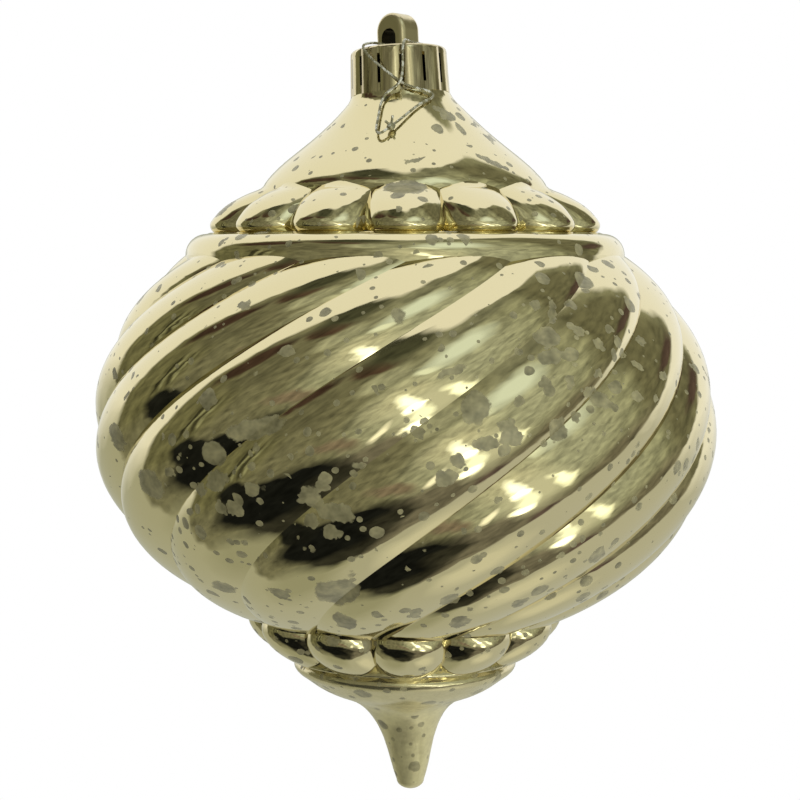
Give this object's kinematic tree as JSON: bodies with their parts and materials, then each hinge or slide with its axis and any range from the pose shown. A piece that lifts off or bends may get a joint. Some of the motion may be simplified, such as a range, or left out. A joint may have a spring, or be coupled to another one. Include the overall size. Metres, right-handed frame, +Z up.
{
  "type": "glass onion ornament",
  "caption": "Silvered onion-shaped hanging ornament with winding flutes, beaded rings, a drawn point, a slotted cap with a hanger loop and a knotted thread.",
  "frame": {"origin": "hanging point: middle of the top of the hole in the hanger loop", "axes": "+Z up along the line the ornament hangs from, -Y towards the side seen in the picture, +X to the right in it"},
  "size_m": [0.1555, 0.1549, 0.196],
  "materials": {
    "silvered_glass": "mirror gloss",
    "metallised_cap": "mirror gloss",
    "metallic_thread": "glitter"
  },
  "bodies": {
    "root": {"glass_ornament": "silvered_glass", "hanger_cap": "metallised_cap", "hanging_thread": "metallic_thread", "thread_knot": "metallic_thread"}
  },
  "joints": []
}
